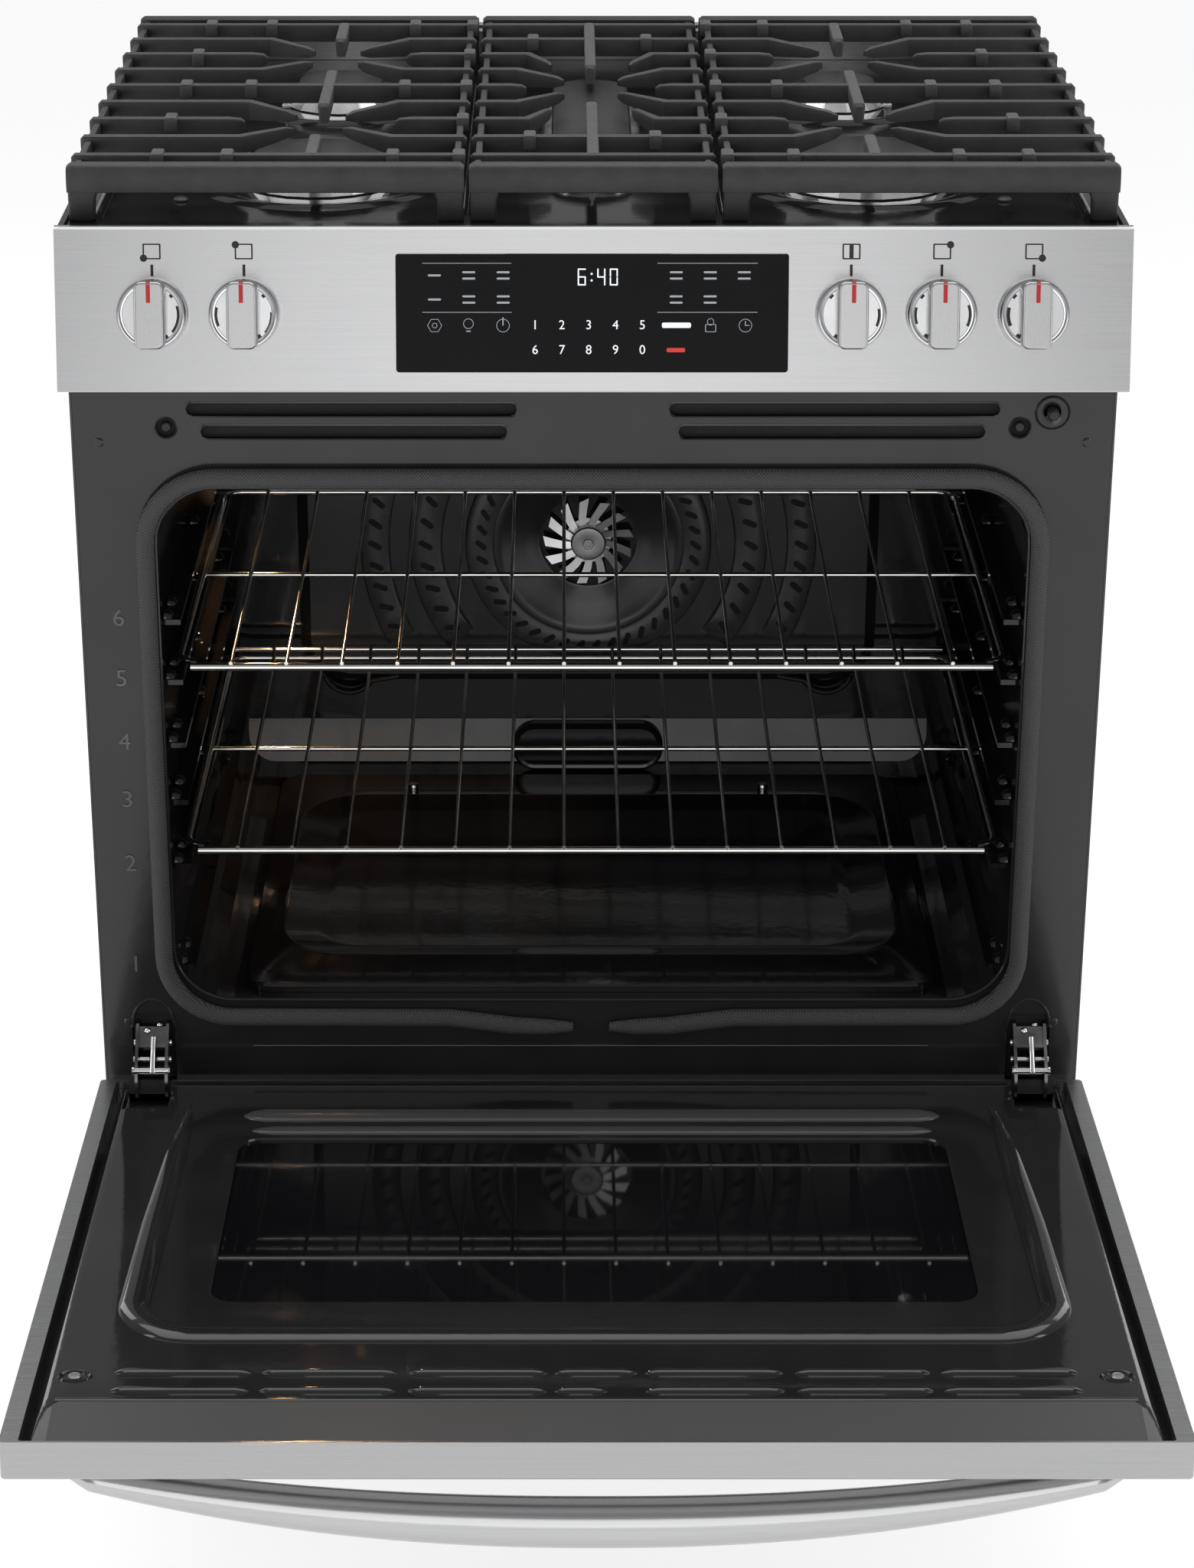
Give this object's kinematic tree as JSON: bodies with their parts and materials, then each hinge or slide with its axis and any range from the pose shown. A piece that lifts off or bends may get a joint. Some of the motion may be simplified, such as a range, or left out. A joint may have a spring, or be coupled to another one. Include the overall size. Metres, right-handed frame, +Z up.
{
  "type": "freestanding gas range",
  "caption": "Freestanding gas range with a slanted front control panel, cast grates over its burners, an open drop-down oven door, wire racks, a convection fan and a storage drawer.",
  "frame": {"origin": "on the floor, at the middle of the whole object's box with the oven door open", "axes": "+Z up, +X to the right as the cook faces the range, -Y towards the cook, the way the door opens"},
  "size_m": [0.762, 1.1938, 0.936],
  "materials": {
    "stainless": "brushed, satin",
    "chrome": "polished",
    "aluminium": "satin",
    "galvanised": "zinc-coated, dull",
    "black_enamel": "glossy vitreous enamel",
    "grey_enamel": "satin-gloss enamel",
    "cast_iron": "matte enamelled",
    "gasket_weave": "woven glass-fibre",
    "black_glass": "glossy, opaque",
    "window_glass": "dark tinted, glossy",
    "lamp_glass": "frosted, warm",
    "black_plastic": "matte",
    "brass": "machined"
  },
  "bodies": {
    "range_body": {"foot_front_left": "black_plastic", "foot_front_right": "black_plastic", "foot_rear_left": "black_plastic", "foot_rear_right": "black_plastic", "base_frame": "galvanised", "back_panel": "galvanised", "fan_motor": "galvanised", "bake_burner": "galvanised", "broil_burner": "galvanised", "gas_manifold": "galvanised", "hinge_arm_left": "galvanised", "hinge_arm_right": "galvanised", "left_side_panel": "grey_enamel", "right_side_panel": "grey_enamel", "front_frame": "black_enamel", "oven_cavity": "black_enamel", "oven_floor_panel": "black_enamel", "convection_baffle": "black_enamel", "cooktop": "black_enamel", "oven_gasket": "gasket_weave", "oven_lamp": "lamp_glass", "temperature_probe": "chrome", "control_panel": "stainless", "rear_vent_trim": "stainless", "display_glass": "black_glass", "control_board": "black_plastic", "pressure_regulator": "aluminium", "burner_base_front_left": "aluminium", "burner_cap_front_left": "cast_iron", "burner_base_front_right": "aluminium", "burner_cap_front_right": "cast_iron", "burner_base_rear_left": "aluminium", "burner_cap_rear_left": "cast_iron", "burner_base_rear_right": "aluminium", "burner_cap_rear_right": "cast_iron", "burner_base_centre": "aluminium", "burner_cap_centre": "cast_iron"},
    "door": {"door_skin": "stainless", "door_liner": "grey_enamel", "door_inner_glass": "window_glass", "door_handle": "stainless"},
    "drawer": {"drawer_front": "stainless", "drawer_box": "galvanised"},
    "upper_rack": {"rack_upper": "chrome"},
    "lower_rack": {"rack_lower": "chrome"},
    "left_grate": {"grate_left": "cast_iron"},
    "centre_grate": {"grate_centre": "cast_iron"},
    "right_grate": {"grate_right": "cast_iron"},
    "fan": {"fan_wheel": "aluminium"},
    "door_switch": {"door_switch_plunger": "black_plastic"},
    "stem_front_left": {"valve_stem_front_left": "brass"},
    "dial_front_left": {"knob_front_left": "chrome"},
    "stem_rear_left": {"valve_stem_rear_left": "brass"},
    "dial_rear_left": {"knob_rear_left": "chrome"},
    "stem_centre": {"valve_stem_centre": "brass"},
    "dial_centre": {"knob_centre": "chrome"},
    "stem_rear_right": {"valve_stem_rear_right": "brass"},
    "dial_rear_right": {"knob_rear_right": "chrome"},
    "stem_front_right": {"valve_stem_front_right": "brass"},
    "dial_front_right": {"knob_front_right": "chrome"}
  },
  "joints": [
    {"name": "door_hinge", "type": "hinge", "parent": "range_body", "child": "door", "pos_m": [0, -0.03787, 0.224], "axis": [1, 0, 0], "range_deg": [-86.5, 0]},
    {"name": "drawer_slide", "type": "slide", "parent": "range_body", "child": "drawer", "axis": [0, -1, 0], "range_m": [0, 0.38]},
    {"name": "upper_rack_slide", "type": "slide", "parent": "range_body", "child": "upper_rack", "axis": [0, -1, 0], "range_m": [0, 0.25]},
    {"name": "lower_rack_slide", "type": "slide", "parent": "range_body", "child": "lower_rack", "axis": [0, -1, 0], "range_m": [0, 0.25]},
    {"name": "left_grate_lift", "type": "slide", "parent": "range_body", "child": "left_grate", "axis": [0, 0, 1], "range_m": [0, 0.1]},
    {"name": "centre_grate_lift", "type": "slide", "parent": "range_body", "child": "centre_grate", "axis": [0, 0, 1], "range_m": [0, 0.1]},
    {"name": "right_grate_lift", "type": "slide", "parent": "range_body", "child": "right_grate", "axis": [0, 0, 1], "range_m": [0, 0.1]},
    {"name": "fan_spin", "type": "hinge", "parent": "range_body", "child": "fan", "pos_m": [0, 0.43288, 0.504], "axis": [0, -1, 0], "continuous": true},
    {"name": "door_switch_press", "type": "slide", "parent": "range_body", "child": "door_switch", "axis": [0, 1, 0], "range_m": [0, 0.006], "stiffness_N_per_m": 200, "springref_m": -0.002},
    {"name": "knob_push_front_left", "type": "slide", "parent": "range_body", "child": "stem_front_left", "axis": [0, 0.9745, -0.2242], "range_m": [0, 0.003], "stiffness_N_per_m": 500, "springref_m": -0.003},
    {"name": "knob_turn_front_left", "type": "hinge", "parent": "stem_front_left", "child": "dial_front_left", "pos_m": [-0.312, -0.03669, 0.841], "axis": [0, -0.9745, 0.2242], "range_deg": [0, 210]},
    {"name": "knob_push_rear_left", "type": "slide", "parent": "range_body", "child": "stem_rear_left", "axis": [0, 0.9745, -0.2242], "range_m": [0, 0.003], "stiffness_N_per_m": 500, "springref_m": -0.003},
    {"name": "knob_turn_rear_left", "type": "hinge", "parent": "stem_rear_left", "child": "dial_rear_left", "pos_m": [-0.247, -0.03669, 0.841], "axis": [0, -0.9745, 0.2242], "range_deg": [0, 210]},
    {"name": "knob_push_centre", "type": "slide", "parent": "range_body", "child": "stem_centre", "axis": [0, 0.9745, -0.2242], "range_m": [0, 0.003], "stiffness_N_per_m": 500, "springref_m": -0.003},
    {"name": "knob_turn_centre", "type": "hinge", "parent": "stem_centre", "child": "dial_centre", "pos_m": [0.182, -0.03669, 0.841], "axis": [0, -0.9745, 0.2242], "range_deg": [0, 210]},
    {"name": "knob_push_rear_right", "type": "slide", "parent": "range_body", "child": "stem_rear_right", "axis": [0, 0.9745, -0.2242], "range_m": [0, 0.003], "stiffness_N_per_m": 500, "springref_m": -0.003},
    {"name": "knob_turn_rear_right", "type": "hinge", "parent": "stem_rear_right", "child": "dial_rear_right", "pos_m": [0.246, -0.03669, 0.841], "axis": [0, -0.9745, 0.2242], "range_deg": [0, 210]},
    {"name": "knob_push_front_right", "type": "slide", "parent": "range_body", "child": "stem_front_right", "axis": [0, 0.9745, -0.2242], "range_m": [0, 0.003], "stiffness_N_per_m": 500, "springref_m": -0.003},
    {"name": "knob_turn_front_right", "type": "hinge", "parent": "stem_front_right", "child": "dial_front_right", "pos_m": [0.311, -0.03669, 0.841], "axis": [0, -0.9745, 0.2242], "range_deg": [0, 210]}
  ]
}
